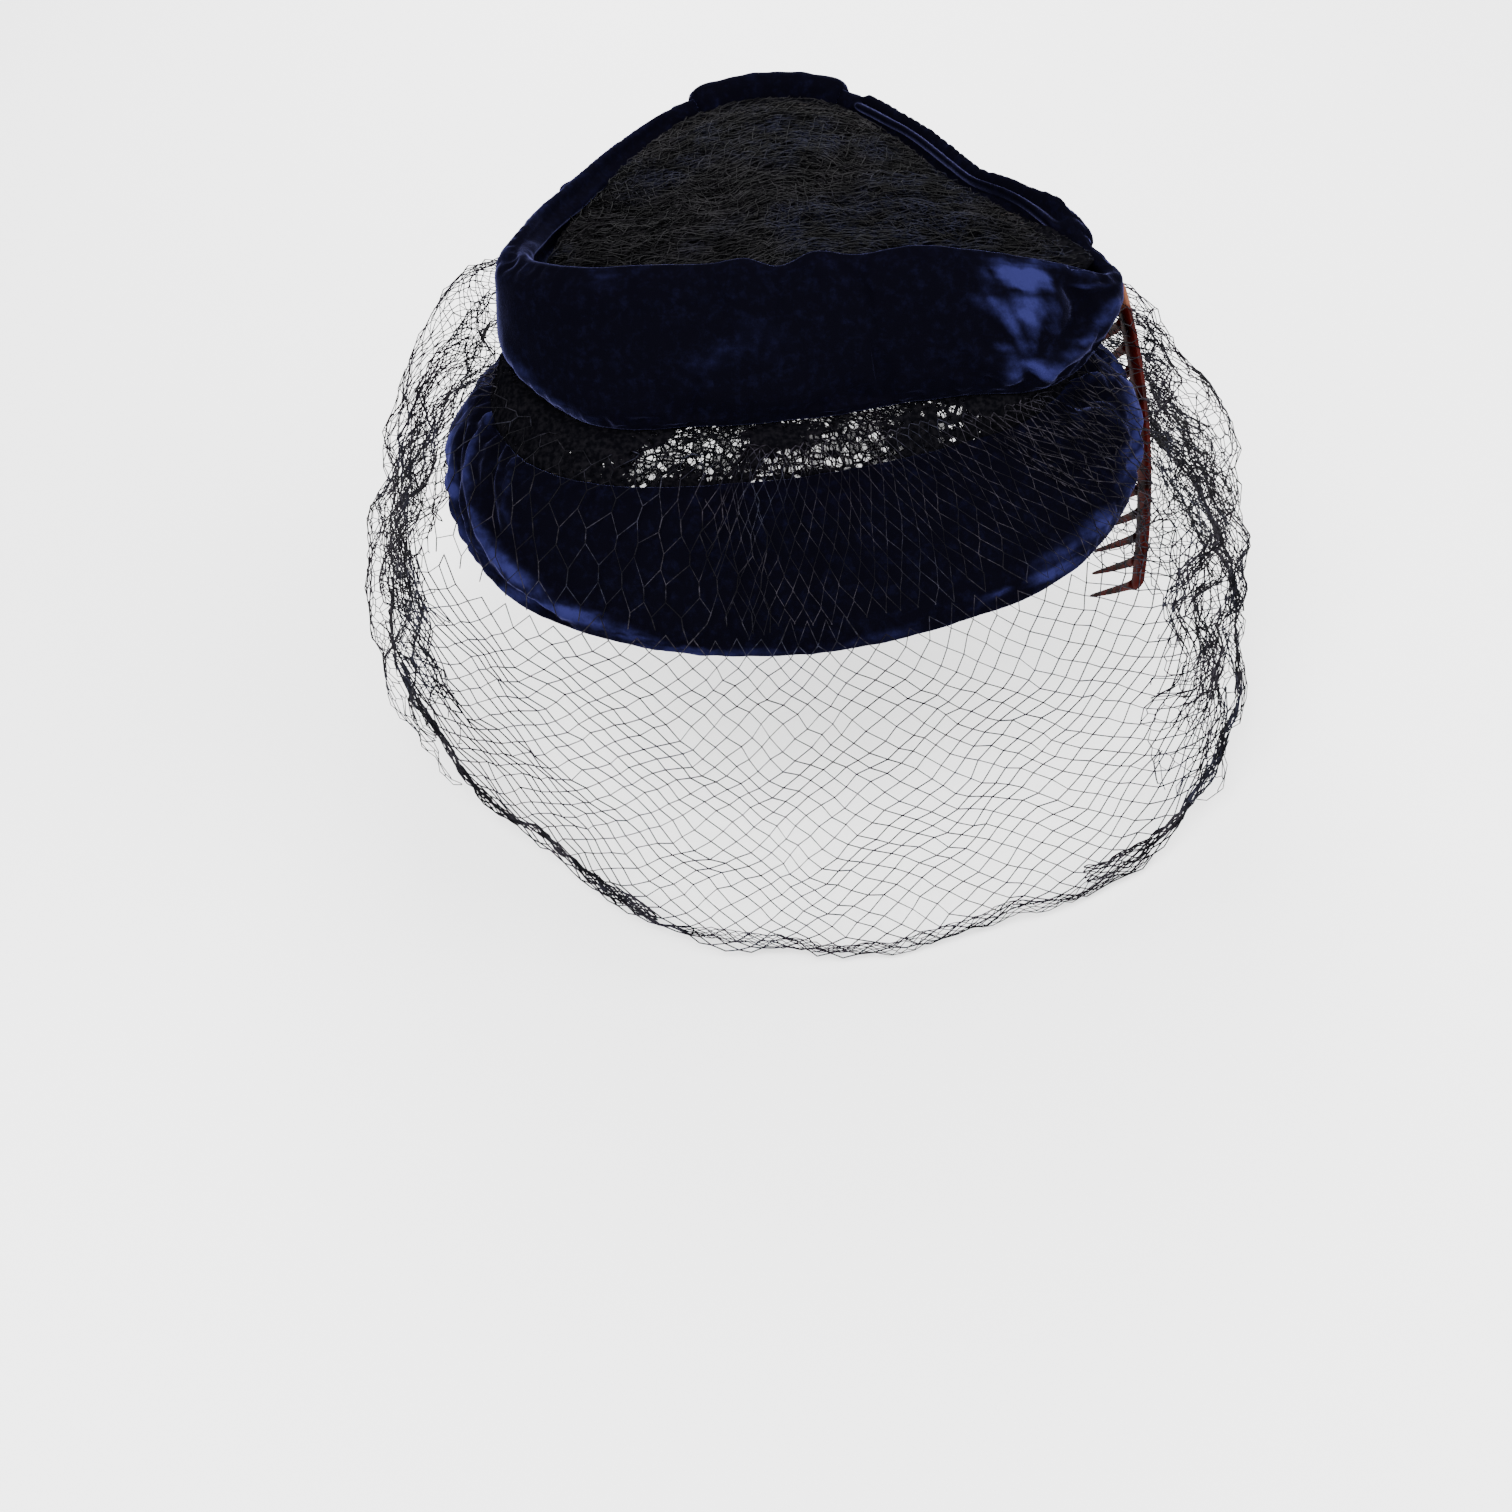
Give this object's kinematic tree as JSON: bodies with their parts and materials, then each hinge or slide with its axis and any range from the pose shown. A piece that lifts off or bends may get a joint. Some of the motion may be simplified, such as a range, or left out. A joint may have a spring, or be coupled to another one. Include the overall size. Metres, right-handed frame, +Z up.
{
  "type": "veiled cocktail half-hat",
  "caption": "Small open-crowned velvet half-hat: two padded bands joined by a netting crown, a knot at the back, a face veil of open net and a side comb.",
  "frame": {"origin": "top of the wearer's head, where the crown net's underside rests on it", "axes": "+Z up, -Y the way the wearer faces, +X the wearer's left"},
  "size_m": [0.2246, 0.1828, 0.1474],
  "materials": {
    "velvet": "matt crushed velvet, dark navy with a blue nap",
    "crown_netting": "matt layered black netting",
    "veil_netting": "matt black silk veiling",
    "tortoiseshell": "polished red-brown and amber plastic"
  },
  "bodies": {
    "root": {"brim_band": "velvet", "upper_band": "velvet", "back_knot": "velvet", "crown_net": "crown_netting", "veil": "veil_netting", "side_comb": "tortoiseshell"}
  },
  "joints": []
}
